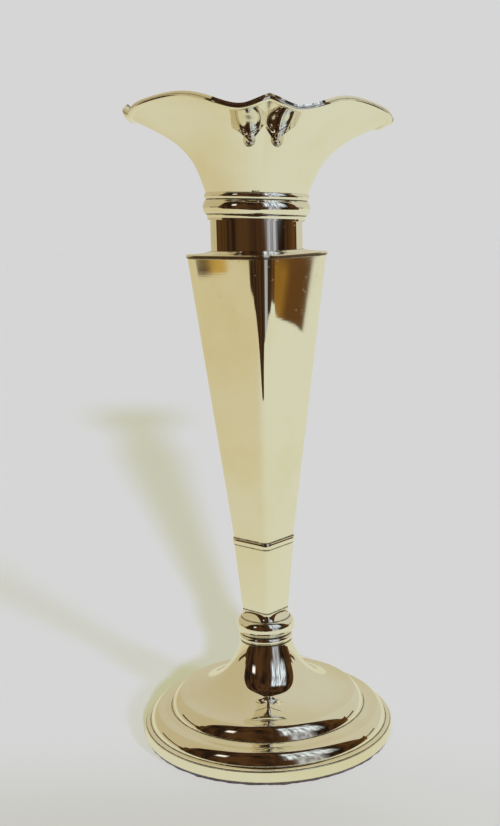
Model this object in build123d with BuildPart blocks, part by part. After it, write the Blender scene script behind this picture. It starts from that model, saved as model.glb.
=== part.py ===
# Silver trumpet vase: four-sided body and lobed mouth on a round, stepped and loaded foot.
# Millimetres, +Z up, origin at the middle of the underside, body faces square to X and Y.

import os
from math import cos, radians, sin, sqrt

from build123d import *

# Gauge and clearances
sheet = 0.8
stud_clearance = 0.15
plate_clearance = 0.1
collar_clearance = 0.1
round_off = 0.05

# Base under the foot
felt_thickness = 1.0
felt_inset = 0.7
plate_thickness = 1.0

# Foot: plain band, two rounded steps, then a dome that sweeps up into the stem
foot_radius = 40.0
band_height = 3.4
band_wall = 1.2
edge_inset = 0.4
edge_height = 0.4
ledge_width = 1.4
ledge_rise = 0.2
lower_step_width = 5.0
lower_step_rise = 4.0
tread_width = 2.0
tread_rise = 0.5
upper_step_width = 5.6
upper_step_rise = 4.4
dome_rise = 17.2
dome_sag = 3.8
stem_radius = 8.2

# Stud, washer and nut that hold the foot to the body
stud_radius = 2.5
stud_tail = 2.0
stud_grip = 4.5
washer_radius = 5.6
washer_thickness = 1.0
nut_across_flats = 8.0
nut_height = 4.0

# Mouldings between the stem and the body
ring_height = 2.2
ring_radius = 8.6
ring_seat_radius = 8.0
knop_height = 5.4
knop_radius = 9.3
knop_seat_radius = 7.8
body_foot_height = 2.6

# Four-sided body in two lengths with a band at the waist
body_bottom_side = 11.1
body_bottom_round = 1.4
waist_side = 14.4
waist_round = 1.8
shoulder_margin = 2.2
shoulder_round = 4.0
lower_body_height = 21.6
waist_band_height = 2.2
waist_band_overhang = 0.45
upper_body_height = 88.4
plug_height = 6.0

# Shoulder and neck
shoulder_overhang = 0.4
shoulder_edge = 1.0
shoulder_rise = 1.0
shoulder_fillet = 1.2
neck_radius = 14.0
neck_height = 8.6

# Collar of three rings round the foot of the mouth
collar_fillet_seat = 0.5
collar_fillet_height = 1.7
collar_fillet_proud = 1.0
collar_bead_seat = 1.4
collar_bead_height = 4.4
collar_bead_proud = 2.3
collar_top_height = 2.2
collar_top_proud = 1.9

# Mouth: height over the sleeve, then spread past the neck at a corner, a shoulder and the middle of a lobe
mouth_lean = 3.0
mouth_lean_turn = 68.0
flare_sections = [
    (6.9, 2.5, 2.6, 2.6),
    (12.9, 5.5, 6.2, 5.7),
    (17.9, 9.9, 11.8, 9.4),
    (21.9, 16.2, 19.3, 13.3),
    (25.5, 22.7, 27.5, 17.4),
    (29.5, 27.0, 35.2, 22.4),
]
lobe_corner_angle = 45.0
lobe_shoulder_angle = 32.0
lobe_full_angle = 17.0
lobe_fullness = 0.4
lobe_crest = 28.7
lobe_haunch = 26.3
lobe_dip = 24.7
lobe_corner = 27.3
lobe_haunch_angle = 22.0
lobe_dip_angle = 35.0
rim_cut_past_corner = 15.0
rim_wire_radius = 1.0
rim_wire_gap = 0.2
rim_wire_run_out = 3.0

# Levels from the floor up
plate_top = felt_thickness + plate_thickness
shell_bottom = felt_thickness + band_height
lower_step_bottom = shell_bottom + edge_height + ledge_rise
lower_step_top = lower_step_bottom + lower_step_rise
upper_step_bottom = lower_step_top + tread_rise
upper_step_top = upper_step_bottom + upper_step_rise
stem_top = upper_step_top + dome_rise
washer_bottom = stem_top - sheet - washer_thickness
nut_bottom = washer_bottom - nut_height
knop_bottom = stem_top + ring_height
body_foot_bottom = knop_bottom + knop_height
body_bottom = body_foot_bottom + body_foot_height
waist_bottom = body_bottom + lower_body_height
waist_top = waist_bottom + waist_band_height
shoulder_bottom = waist_top + upper_body_height
shoulder_top = shoulder_bottom + shoulder_edge + shoulder_rise
collar_bottom = shoulder_top + neck_height
sleeve_height = collar_fillet_height + collar_bead_height

# Radii and sides that several pieces share
band_inner = foot_radius - band_wall
neck_inner = neck_radius - sheet
stud_bore = stud_radius + stud_clearance
shoulder_side = 2 * (neck_radius + shoulder_margin)

# Space that is wider and taller than the whole mouth
mouth_reach = 2 * (neck_radius + flare_sections[-1][2])

# The collar and the mouth lean together, in a direction turned from +X
lean = radians(mouth_lean)
lean_turn = radians(mouth_lean_turn)
lean_axis = Vector(sin(lean) * cos(lean_turn), sin(lean) * sin(lean_turn), cos(lean))
lean_x = Vector(1, 0, 0) - lean_axis * lean_axis.X
mouth_plane = Plane(origin=(0, 0, collar_bottom), x_dir=lean_x, z_dir=lean_axis)


def save(builder, name):
    """Name a finished piece and write it to its own file."""
    builder.part.label = name
    export_step(builder.part, f"parts/{name}.step")


def polar(radius, degrees):
    """Point in a drawing plane at a radius and an angle."""
    return (radius * cos(radians(degrees)), radius * sin(radians(degrees)))


def step_arc(start, width, rise):
    """Rounded step that climbs inwards, through the middle of a quarter ellipse."""
    middle = (start[0] - width * (1 - cos(radians(45))), start[1] + rise * sin(radians(45)))
    ThreePointArc(start, middle, (start[0] - width, start[1] + rise))


def foot_solid(inset, bottom, mode=Mode.ADD):
    """Turned solid under the foot's outline, drawn in and down by an inset."""
    edge = foot_radius - edge_inset - inset
    lower = (edge - ledge_width, lower_step_bottom - inset)
    tread = (lower[0] - lower_step_width, lower_step_top - inset)
    upper = (tread[0] - tread_width, upper_step_bottom - inset)
    dome = (upper[0] - upper_step_width, upper_step_top - inset)
    stem = (stem_radius - inset, stem_top - inset)
    with BuildSketch(Plane.XZ) as outline:
        with BuildLine():
            Polyline((0, stem[1]), (0, bottom), (edge, bottom))
            Polyline((edge, bottom), (edge, shell_bottom + edge_height - inset), lower)
            step_arc(lower, lower_step_width, lower_step_rise)
            Line(tread, upper)
            step_arc(upper, upper_step_width, upper_step_rise)
            SagittaArc(dome, stem, dome_sag)
            Line(stem, (0, stem[1]))
        make_face()
    revolve(outline.sketch, axis=Axis.Z, mode=mode)


def disc(bottom, height, radius, bore=0.0, mode=Mode.ADD):
    """Flat disc or washer at a level."""
    with BuildSketch(Plane.XY.offset(bottom)) as outline:
        Circle(radius)
        if bore > 0:
            Circle(bore, mode=Mode.SUBTRACT)
    extrude(outline.sketch, amount=height, mode=mode)


def bead_ring(plane, bottom, height, bore, seat, crown):
    """Turned ring about a plane's axis, rounded outside between two equal seats."""
    side = Plane(origin=plane.origin, x_dir=plane.x_dir, z_dir=-plane.y_dir)
    top = bottom + height
    with BuildSketch(side) as section:
        with BuildLine():
            Polyline((seat, top), (bore, top), (bore, bottom), (seat, bottom))
            ThreePointArc((seat, bottom), (crown, bottom + height / 2), (seat, top))
        make_face()
    revolve(section.sketch, axis=Axis(plane.origin, plane.z_dir))


def square_section(level, side, corner):
    """Square with rounded corners at a level."""
    with BuildSketch(Plane.XY.offset(level)) as section:
        RectangleRounded(side, side, corner)
    return section.sketch


def lower_body_section(level, inset):
    """Section of the lower body, straight between its two ends."""
    share = (level - body_bottom) / lower_body_height
    side = body_bottom_side + share * (waist_side - body_bottom_side)
    corner = body_bottom_round + share * (waist_round - body_bottom_round)
    return square_section(level, side - 2 * inset, corner - inset)


def lower_body_loft(top, inset, mode=Mode.ADD):
    """Tapered length of the lower body from its foot to a level."""
    loft([lower_body_section(body_bottom, inset), lower_body_section(top, inset)], mode=mode)


def upper_body_loft(inset, mode=Mode.ADD):
    """Tapered length from the waist to the shoulder."""
    waist = square_section(waist_top, waist_side - 2 * inset, waist_round - inset)
    shoulder = square_section(shoulder_bottom, shoulder_side - 2 * inset, shoulder_round - inset)
    loft([waist, shoulder], mode=mode)


def round_section(level, radius):
    """Circle in four quarters at a level."""
    with BuildSketch(Plane.XY.offset(level)) as section:
        with BuildLine():
            for turn in range(0, 360, 90):
                CenterArc((0, 0), radius, turn - 45, 90)
        make_face()
    return section.sketch


def flare_section(level, corner, shoulder, middle):
    """Four lobes with full shoulders and a notch at each corner, at a level."""
    full = middle + lobe_fullness * (shoulder - middle)
    half = [(lobe_corner_angle, corner), (lobe_shoulder_angle, shoulder), (lobe_full_angle, full)]
    lobe = [(-angle, radius) for angle, radius in half] + [(0, middle)] + half[::-1]
    with BuildSketch(Plane.XY.offset(level)) as section:
        with BuildLine():
            for turn in range(0, 360, 90):
                Spline([polar(radius, turn + angle) for angle, radius in lobe])
        make_face()
    return section.sketch


def flare_loft(wall, mode=Mode.ADD):
    """Trumpet from the round sleeve to past the rim, drawn in by a wall measured square to it."""
    rows = [(0.0, 0.0, 0.0, 0.0)] + flare_sections
    sections = [round_section(sleeve_height, neck_radius - wall)]
    for before, row, after in zip(rows, rows[1:], rows[2:] + rows[-1:]):
        run = after[0] - before[0]
        slopes = [(high - low) / run for low, high in zip(before[1:], after[1:])]
        radii = [neck_radius + spread - wall * sqrt(1 + slope**2) for spread, slope in zip(row[1:], slopes)]
        sections.append(flare_section(sleeve_height + row[0], *radii))
    loft(sections, mode=mode)


def cut_rim(drop):
    """Take away what stands over the arched edge of the +X lobe, lowered by a drop."""
    half = [(lobe_corner_angle + rim_cut_past_corner, lobe_corner), (lobe_corner_angle, lobe_corner)]
    half += [(lobe_dip_angle, lobe_dip), (lobe_haunch_angle, lobe_haunch)]
    arch = [(-angle, level) for angle, level in half] + [(0, lobe_crest)] + half[::-1]
    edges = []
    for radius in (neck_inner / 2, mouth_reach):
        points = [(*polar(radius, angle), sleeve_height + level - drop) for angle, level in arch]
        edges.append(Edge.make_spline(points))
    roof = Face.make_surface_from_curves(*edges)
    add(Solid.extrude(roof, (0, 0, mouth_reach)), mode=Mode.SUBTRACT)


def keep_lobe():
    """Keep the quarter of the mouth about the +X side."""
    with BuildSketch() as quarter:
        Polygon((0, 0), (mouth_reach, -mouth_reach), (mouth_reach, mouth_reach), align=None)
    extrude(quarter.sketch, amount=mouth_reach, mode=Mode.INTERSECT)


os.makedirs("parts", exist_ok=True)

# Felt that the vase stands on
with BuildPart() as base_felt:
    disc(0, felt_thickness, foot_radius - felt_inset)
save(base_felt, "base_felt")

# Closing plate above the felt, inside the band
with BuildPart() as base_plate:
    disc(felt_thickness, plate_thickness, band_inner - plate_clearance)
save(base_plate, "base_plate")

# Plain band round the edge of the foot
with BuildPart() as foot_band:
    disc(felt_thickness, band_height, foot_radius, band_inner)
save(foot_band, "foot_band")

# Stepped foot shell, closed at the top of the stem except for the stud
with BuildPart() as foot_shell:
    foot_solid(0, shell_bottom)
    foot_solid(sheet, shell_bottom - sheet, Mode.SUBTRACT)
    disc(stem_top - sheet, sheet, stud_bore, mode=Mode.SUBTRACT)
save(foot_shell, "foot_shell")

# Washer under the top of the stem
with BuildPart() as tie_washer:
    disc(washer_bottom, washer_thickness, washer_radius, stud_bore)
save(tie_washer, "tie_washer")

# Nut under the washer
with BuildPart() as tie_nut:
    with BuildSketch(Plane.XY.offset(nut_bottom)):
        RegularPolygon(nut_across_flats / 2, 6, major_radius=False)
        Circle(stud_radius, mode=Mode.SUBTRACT)
    extrude(amount=nut_height)
save(tie_nut, "tie_nut")

# Stud from below the nut up into the plug
with BuildPart() as tie_stud:
    disc(nut_bottom - stud_tail, body_bottom + stud_grip - nut_bottom + stud_tail, stud_radius)
save(tie_stud, "tie_stud")

# Heavy filling of the foot, cast round the washer, the nut and the stud's tail
with BuildPart() as foot_loading:
    foot_solid(sheet, plate_top)
    disc(washer_bottom, washer_thickness, washer_radius, mode=Mode.SUBTRACT)
    for neighbour in (foot_band, tie_nut, tie_stud):
        add(neighbour.part, mode=Mode.SUBTRACT)
save(foot_loading, "foot_loading")

# Thin ring on top of the stem
with BuildPart() as stem_ring:
    bead_ring(Plane.XY, stem_top, ring_height, stud_bore, ring_seat_radius, ring_radius)
save(stem_ring, "stem_ring")

# Round knop
with BuildPart() as knop:
    bead_ring(Plane.XY, knop_bottom, knop_height, stud_bore, knop_seat_radius, knop_radius)
save(knop, "knop")

# Small foot of the body, round on the knop and square above
with BuildPart() as body_foot:
    round_end = square_section(body_foot_bottom, 2 * knop_seat_radius, knop_seat_radius - round_off)
    loft([round_end, square_section(body_bottom, body_bottom_side, body_bottom_round)])
    disc(body_foot_bottom, body_foot_height, stud_bore, mode=Mode.SUBTRACT)
save(body_foot, "body_foot")

# Lower length of the body
with BuildPart() as lower_body:
    lower_body_loft(waist_bottom, 0)
    lower_body_loft(waist_bottom, sheet, Mode.SUBTRACT)
save(lower_body, "lower_body")

# Watertight plug in the foot of the body, bored blind for the stud
with BuildPart() as body_plug:
    lower_body_loft(body_bottom + plug_height, sheet)
    disc(body_bottom, stud_grip, stud_radius, mode=Mode.SUBTRACT)
save(body_plug, "body_plug")

# Square band at the waist, between the two lengths of the body
with BuildPart() as waist_band:
    overhang = waist_band_overhang
    outside = square_section(waist_bottom, waist_side + 2 * overhang, waist_round + overhang)
    inside = square_section(waist_bottom, waist_side - 2 * sheet, waist_round - sheet)
    extrude(outside, amount=waist_band_height)
    extrude(inside, amount=waist_band_height, mode=Mode.SUBTRACT)
save(waist_band, "waist_band")

# Upper length of the body
with BuildPart() as upper_body:
    upper_body_loft(0)
    upper_body_loft(sheet, Mode.SUBTRACT)
save(upper_body, "upper_body")

# Shoulder plate that rises from a square edge to the round neck
with BuildPart() as shoulder_plate:
    plate_side = shoulder_side + 2 * shoulder_overhang
    plate_round = shoulder_round + shoulder_overhang
    fillet_radius = neck_radius + shoulder_fillet
    extrude(square_section(shoulder_bottom, plate_side, plate_round), amount=shoulder_edge)
    square_end = square_section(shoulder_bottom + shoulder_edge, plate_side, plate_round)
    round_end = square_section(shoulder_top, 2 * fillet_radius, fillet_radius - round_off)
    loft([square_end, round_end])
    disc(shoulder_bottom, shoulder_edge + shoulder_rise, neck_radius, mode=Mode.SUBTRACT)
save(shoulder_plate, "shoulder_plate")

# Neck tube, standing in the shoulder plate and cut off square to the leaning mouth
with BuildPart() as neck_tube:
    disc(shoulder_bottom, collar_bottom + neck_radius - shoulder_bottom, neck_radius, neck_inner)
    split(bisect_by=mouth_plane, keep=Keep.BOTTOM)
save(neck_tube, "neck_tube")

# One lobe of the mouth, modelled upright about +X
with BuildPart() as mouth_lobe:
    flare_loft(0)
    flare_loft(sheet, Mode.SUBTRACT)
    cut_rim(0)
    keep_lobe()

# Mouth: a round sleeve on the neck and four lobes
with BuildPart(mouth_plane) as mouth:
    with BuildSketch(mouth_plane):
        Circle(neck_radius)
        Circle(neck_inner, mode=Mode.SUBTRACT)
    extrude(amount=sleeve_height)
    with PolarLocations(0, 4):
        add(mouth_lobe.part)
save(mouth, "mouth")

# Collar rings round the sleeve
with BuildPart() as collar_fillet:
    seat = neck_radius + collar_fillet_seat
    bead_ring(mouth_plane, 0, collar_fillet_height, neck_radius, seat, neck_radius + collar_fillet_proud)
save(collar_fillet, "collar_fillet")

with BuildPart() as collar_bead:
    seat = neck_radius + collar_bead_seat
    crown = neck_radius + collar_bead_proud
    bead_ring(mouth_plane, collar_fillet_height, collar_bead_height, neck_radius, seat, crown)
save(collar_bead, "collar_bead")

with BuildPart() as collar_top_bead:
    seat = neck_radius + collar_bead_seat
    bore = neck_radius + collar_clearance
    crown = neck_radius + collar_top_proud
    bead_ring(mouth_plane, sleeve_height, collar_top_height, bore, seat, crown)
    add(mouth.part, mode=Mode.SUBTRACT)
save(collar_top_bead, "collar_top_bead")

# Line beside a lobe that the middle of its rim wire follows
with BuildPart() as rim_guide:
    flare_loft(-rim_wire_radius - rim_wire_gap)
    cut_rim(rim_wire_radius)
    keep_lobe()
rim_edge = rim_guide.edges().sort_by(SortBy.LENGTH)[-1]
rim_start = rim_edge @ 0 - (rim_edge % 0) * rim_wire_run_out
rim_end = rim_edge @ 1 + (rim_edge % 1) * rim_wire_run_out

# Round rim wire of one lobe, mitred at the corners
with BuildPart() as lobe_wire:
    with BuildLine() as rim_path:
        Line(rim_start, rim_edge @ 0)
        add(rim_edge)
        Line(rim_edge @ 1, rim_end)
    with BuildSketch(Plane(origin=rim_start, z_dir=rim_edge % 0)):
        Circle(rim_wire_radius)
    sweep(path=rim_path.line)
    keep_lobe()

# The four lengths of rim wire
for index, turn in enumerate(range(0, 360, 90), start=1):
    with BuildPart(mouth_plane) as rim_wire:
        add(lobe_wire.part, rotation=(0, 0, turn))
    save(rim_wire, f"rim_wire_{index}")
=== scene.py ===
"""Silver trumpet vase: the turned, square and lobed pieces of the vase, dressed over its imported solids."""

import logging
import math
from dataclasses import dataclass
from enum import Enum
from typing import Any, Callable, Sequence

import bmesh
import bpy
import numpy
from mathutils import Matrix, Vector, noise


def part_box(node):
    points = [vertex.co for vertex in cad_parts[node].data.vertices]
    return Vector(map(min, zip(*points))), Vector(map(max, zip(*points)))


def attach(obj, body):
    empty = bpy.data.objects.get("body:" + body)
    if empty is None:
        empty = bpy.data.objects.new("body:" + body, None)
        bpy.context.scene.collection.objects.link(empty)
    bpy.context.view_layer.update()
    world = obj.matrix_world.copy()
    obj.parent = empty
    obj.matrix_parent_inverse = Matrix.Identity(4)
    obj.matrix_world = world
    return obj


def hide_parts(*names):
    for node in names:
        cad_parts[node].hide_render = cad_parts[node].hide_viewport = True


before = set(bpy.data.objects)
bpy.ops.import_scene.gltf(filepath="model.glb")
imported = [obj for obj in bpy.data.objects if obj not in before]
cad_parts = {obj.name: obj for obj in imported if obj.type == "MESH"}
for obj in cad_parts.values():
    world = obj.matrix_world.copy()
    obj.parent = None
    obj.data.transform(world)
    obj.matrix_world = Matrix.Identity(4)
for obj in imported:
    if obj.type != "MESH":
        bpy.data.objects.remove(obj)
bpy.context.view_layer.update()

log = logging.getLogger("vase")

Color = tuple[float, float, float]
Point = tuple[float, float]

MM = 0.001
TURN_STEPS = 192
ARC_STEPS = 14
EASE_STEPS = 4
SHARP_EDGE = math.radians(32.0)
# Vertex attribute with the amount of dark residue, and of painted shade where the mouth's corners meet their
# wires
GRIME_AND_SHADE = "grime_and_shade"

# Sockets of a Mix node on colours, by number because its other kinds share their names
MIX_FACTOR, MIX_FIRST, MIX_SECOND, MIX_RESULT = 0, 6, 7, 2


# Radius that stands for every radius, where residue follows a level all round a piece
ANY_RADIUS = -1.0


class Slot(Enum):
    """Material slots that the record names."""

    SILVER = "silver"
    FELT = "felt"
    LOADING = "loading"
    IRON = "plate_iron"
    BRASS = "plug_brass"


class Seen(Enum):
    """Kinds of light ray that a stage piece shows itself to."""

    EVERYTHING = "everything"
    REFLECTIONS = "reflections"


def box_mm(node: str) -> tuple[Vector, Vector]:
    """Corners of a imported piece.

    Args:
        node: name of the piece.

    Returns:
        Lowest and highest corner in millimetres.
    """
    low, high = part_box(node)
    return low / MM, high / MM


class Value:
    """A shader socket that takes part in Python arithmetic."""

    def __init__(self, shader: "Shader", socket: bpy.types.NodeSocket) -> None:
        """Keep the socket and the shader that it belongs to."""
        self.shader = shader
        self.socket = socket

    def __add__(self, other: Any) -> "Value":
        """Sum."""
        return self.shader.math("ADD", self, other)

    __radd__ = __add__

    def __mul__(self, other: Any) -> "Value":
        """Product."""
        return self.shader.math("MULTIPLY", self, other)

    __rmul__ = __mul__

    def __sub__(self, other: Any) -> "Value":
        """Difference."""
        return self.shader.math("SUBTRACT", self, other)

    def __rsub__(self, other: Any) -> "Value":
        """Difference with this value second."""
        return self.shader.math("SUBTRACT", other, self)

    def ramp(self, low: float, high: float) -> "Value":
        """Smooth step of this value.

        Args:
            low: value that gives 0.
            high: value that gives 1.

        Returns:
            The stepped value.
        """
        inputs = {"Value": self, "From Min": low, "From Max": high}
        return self.shader.node("ShaderNodeMapRange", {"interpolation_type": "SMOOTHSTEP"}, inputs)

    def within(self, low: float, high: float, soft: float) -> "Value":
        """Whether this value lies between two others, with soft ends."""
        return self.ramp(low - soft, low + soft) * (1.0 - self.ramp(high - soft, high + soft))


class Shader:
    """Node tree of one material or of the world."""

    def __init__(self, owner: bpy.types.ID) -> None:
        """Start with an empty tree on a material or a world."""
        owner.use_nodes = True
        self.tree = owner.node_tree
        self.tree.nodes.clear()

    def node(
        self, kind: str, settings: dict | None = None, inputs: dict | None = None, output: str | int = 0
    ) -> Value:
        """Add a node.

        Args:
            kind: the node's type.
            settings: properties that are set before the sockets.
            inputs: values or links by socket name or number.
            output: name or number of the wanted output.

        Returns:
            The wanted output.
        """
        made = self.tree.nodes.new(kind)
        for key, setting in (settings or {}).items():
            setattr(made, key, setting)
        for key, given in (inputs or {}).items():
            if isinstance(given, Value):
                self.tree.links.new(given.socket, made.inputs[key])
            else:
                made.inputs[key].default_value = given
        return Value(self, made.outputs[output] if made.outputs else made.inputs[0])

    def math(self, operation: str, *values: Any) -> Value:
        """Add a Math node on numbers and values."""
        return self.node("ShaderNodeMath", {"operation": operation}, dict(enumerate(values)))

    def blend(self, factor: Any, first: Any, second: Any) -> Value:
        """Mix two colours.

        Args:
            factor: share of the second colour.
            first: colour or link.
            second: colour or link.

        Returns:
            The mixed colour.
        """
        colors = [(*c, 1.0) if isinstance(c, tuple) else c for c in (first, second)]
        inputs = {MIX_FACTOR: factor, MIX_FIRST: colors[0], MIX_SECOND: colors[1]}
        return self.node("ShaderNodeMix", {"data_type": "RGBA"}, inputs, MIX_RESULT)

    def place(self, stretch: Sequence[float] = (1.0, 1.0, 1.0)) -> Value:
        """Object coordinates, stretched along the axes."""
        where = self.node("ShaderNodeTexCoord", output="Object")
        return self.node("ShaderNodeMapping", None, {"Vector": where, "Scale": tuple(stretch)})

    def cloud(self, where: Value, scale: float, detail: float = 3.0) -> Value:
        """Noise between 0 and 1 at a place."""
        return self.node("ShaderNodeTexNoise", None, {"Vector": where, "Scale": scale, "Detail": detail})

    def bump(self, height: Value) -> Value:
        """Normal of a surface that is raised by a height in metres."""
        return self.node("ShaderNodeBump", None, {"Strength": 1.0, "Distance": 1.0, "Height": height})

    def glow(self, color: Any) -> Value:
        """Emission of a colour."""
        shown = (*color, 1.0) if isinstance(color, tuple) else color
        return self.node("ShaderNodeEmission", None, {"Color": shown, "Strength": 1.0})

    def either(self, factor: Any, first: Value, second: Value) -> Value:
        """Mix two shaders by a factor."""
        return self.node("ShaderNodeMixShader", None, {0: factor, 1: first, 2: second})

    def ray(self, kind: str) -> Value:
        """Whether the light ray is of a kind."""
        return self.node("ShaderNodeLightPath", output=kind)

    def surface(self, shader: Value, target: str = "ShaderNodeOutputMaterial") -> None:
        """Send a shader to the output."""
        self.node(target, None, {"Surface": shader})


@dataclass(frozen=True)
class Silver:
    """Polished silver, rubbed soft, with a warm film, dark residue in the creases and painted shade at the
    mouth's corners.
    """

    bright: Color = (0.96, 0.945, 0.89)
    film: Color = (0.93, 0.885, 0.74)
    # Colour of the residue, which also paints the shade where the mouth's corners meet their wires
    residue: Color = (0.1, 0.06, 0.025)
    gloss: float = 0.02
    film_haze: float = 0.035
    film_scale: float = 38.0
    film_detail: float = 5.0
    film_edges: Point = (0.42, 0.72)
    rub_haze: float = 0.015
    rub_scale: float = 55.0
    rub_detail: float = 4.0
    rub_stretch: float = 40.0
    rub_depth: float = 0.0000012
    pit_scale: float = 520.0
    pit_reach: float = 0.12
    pit_dirt: float = 0.45
    pit_depth: float = 0.00002
    pitted_scale: float = 76.0
    pitted_edges: Point = (0.5, 0.62)
    crumb_scale: float = 900.0
    crumb_least: float = 0.35
    crumb_swing: float = 0.9
    dirt_and_shade_haze: float = 0.3
    dirt_and_shade_edges: Point = (0.05, 0.95)
    wave_scale: float = 24.0
    wave_detail: float = 1.0
    wave_depth: float = 0.00004

    def build(self, name: str) -> bpy.types.Material:
        """Make the material.

        Args:
            name: the material's name.

        Returns:
            The finished material.
        """
        material = bpy.data.materials.new(name)
        shader = Shader(material)
        place = shader.place()
        film = shader.cloud(place, self.film_scale, self.film_detail).ramp(*self.film_edges)
        rubbed = shader.place((1.0, 1.0, self.rub_stretch))
        rub = shader.cloud(rubbed, self.rub_scale, self.rub_detail)
        specks = {"Vector": place, "Scale": self.pit_scale}
        pits = shader.node("ShaderNodeTexVoronoi", None, specks, "Distance")
        pitted = shader.cloud(place, self.pitted_scale).ramp(*self.pitted_edges)
        pit = (1.0 - pits.ramp(0.0, self.pit_reach)) * pitted
        # Residue in the creases, and painted shade at the mouth's corners, from the vertex attribute
        crease = shader.node("ShaderNodeAttribute", {"attribute_name": GRIME_AND_SHADE}, None, "Fac")
        crumbs = shader.cloud(place, self.crumb_scale) * self.crumb_swing + self.crumb_least
        dirt_and_shade = crease * crumbs + pit * self.pit_dirt
        color = shader.blend(film, self.bright, self.film)
        color = shader.blend(dirt_and_shade.ramp(*self.dirt_and_shade_edges), color, self.residue)
        roughness = film * self.film_haze + rub * self.rub_haze + dirt_and_shade * self.dirt_and_shade_haze + self.gloss
        waves = shader.cloud(place, self.wave_scale, self.wave_detail)
        height = waves * self.wave_depth + rub * self.rub_depth - pit * self.pit_depth
        metal = shader.node(
            "ShaderNodeBsdfPrincipled",
            None,
            {"Base Color": color, "Metallic": 1.0, "Roughness": roughness, "Normal": shader.bump(height)},
        )
        shader.surface(metal)
        return material


@dataclass(frozen=True)
class Grained:
    """A plain dull material with a grain in its colour and its surface."""

    light: Color
    dark: Color
    metallic: float
    roughness: float
    grain_scale: float
    grain_depth: float
    stretch: tuple[float, float, float] = (1.0, 1.0, 1.0)
    sheen: float = 0.0
    grain_detail: float = 6.0
    grain_edges: Point = (0.3, 0.7)
    rough_swing: float = 0.2

    def build(self, name: str) -> bpy.types.Material:
        """Make the material.

        Args:
            name: the material's name.

        Returns:
            The finished material.
        """
        material = bpy.data.materials.new(name)
        shader = Shader(material)
        grain = shader.cloud(shader.place(self.stretch), self.grain_scale, self.grain_detail)
        inputs = {
            "Base Color": shader.blend(grain.ramp(*self.grain_edges), self.dark, self.light),
            "Metallic": self.metallic,
            "Roughness": grain * self.rough_swing + (self.roughness - self.rough_swing / 2),
            "Sheen Weight": self.sheen,
            "Normal": shader.bump(grain * self.grain_depth),
        }
        shader.surface(shader.node("ShaderNodeBsdfPrincipled", None, inputs))
        return material


FELT = Grained((0.075, 0.055, 0.025), (0.022, 0.016, 0.008), 0.0, 0.95, 1800.0, 0.0003, sheen=0.3)
LOADING = Grained((0.11, 0.08, 0.055), (0.045, 0.032, 0.022), 0.0, 0.85, 300.0, 0.0004)
IRON = Grained((0.42, 0.41, 0.39), (0.25, 0.24, 0.23), 1.0, 0.42, 260.0, 0.00002, (1.0, 12.0, 1.0))
BRASS = Grained((0.74, 0.57, 0.28), (0.5, 0.36, 0.16), 1.0, 0.32, 240.0, 0.00002, (1.0, 1.0, 12.0))


class Smooth:
    """Natural cubic curve through a few stations."""

    def __init__(self, stations: Sequence[float], values: Sequence[float]) -> None:
        """Work out the curve's bends from its stations and values."""
        self.at = numpy.array(stations, float)
        self.value = numpy.array(values, float)
        gap = numpy.diff(self.at)
        slope = numpy.diff(self.value) / gap
        system = numpy.eye(len(self.at))
        target = numpy.zeros(len(self.at))
        for i in range(1, len(self.at) - 1):
            system[i, i - 1 : i + 2] = gap[i - 1], 2 * (gap[i - 1] + gap[i]), gap[i]
            target[i] = 6 * (slope[i] - slope[i - 1])
        self.bend = numpy.linalg.solve(system, target)

    def __call__(self, where: float) -> float:
        """Value of the curve at a station between or past the ends."""
        i = int(numpy.clip(numpy.searchsorted(self.at, where) - 1, 0, len(self.at) - 2))
        gap = self.at[i + 1] - self.at[i]
        a = (self.at[i + 1] - where) / gap
        b = 1 - a
        straight = a * self.value[i] + b * self.value[i + 1]
        curved = (a**3 - a) * self.bend[i] + (b**3 - b) * self.bend[i + 1]
        return float(straight + curved * gap**2 / 6)


class Outline:
    """Half section of a turned piece, as radius and height in millimetres."""

    def __init__(self, start: Point) -> None:
        """Start at a point."""
        self.points: list[Point] = [start]

    def line(self, *ends: Point) -> "Outline":
        """Add straight runs to points."""
        self.points.extend(ends)
        return self

    def arc(self, through: Point, end: Point, steps: int = ARC_STEPS) -> "Outline":
        """Add a round stretch.

        Args:
            through: point on the arc.
            end: where the arc ends.
            steps: number of pieces.

        Returns:
            This outline.
        """
        start, middle, finish = (Vector(p) for p in (self.points[-1], through, end))
        chord, reach = middle - start, finish - start
        twice = 2 * chord.cross(reach)
        centre = start + Vector((
            (reach.y * chord.length_squared - chord.y * reach.length_squared) / twice,
            (chord.x * reach.length_squared - reach.x * chord.length_squared) / twice,
        ))
        arm = start - centre
        side = math.copysign(1.0, twice)
        sweep = side * ((side * self.turn(arm, finish - centre)) % math.tau)
        for step in range(1, steps + 1):
            angle = sweep * step / steps
            turned = Matrix.Rotation(angle, 2) @ arm
            self.points.append(tuple(centre + turned))
        return self

    def pinched(self, gaps: Sequence[float] = (0.12, 0.36)) -> list[Point]:
        """Closed outline with more points close to the ends of its long runs.

        Args:
            gaps: distances of the added points from each end.

        Returns:
            The points.
        """
        ring = []
        for start, end in zip(self.points, self.points[1:] + self.points[:1]):
            run = Vector(end) - Vector(start)
            ring.append(start)
            if run.length > 3 * gaps[-1]:
                reaches = [*gaps, *(run.length - gap for gap in reversed(gaps))]
                ring.extend(tuple(Vector(start) + run.normalized() * reach) for reach in reaches)
        return ring

    @staticmethod
    def turn(first: Vector, second: Vector) -> float:
        """Anticlockwise angle from one arm to another."""
        return math.atan2(first.cross(second), first.dot(second))


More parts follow.
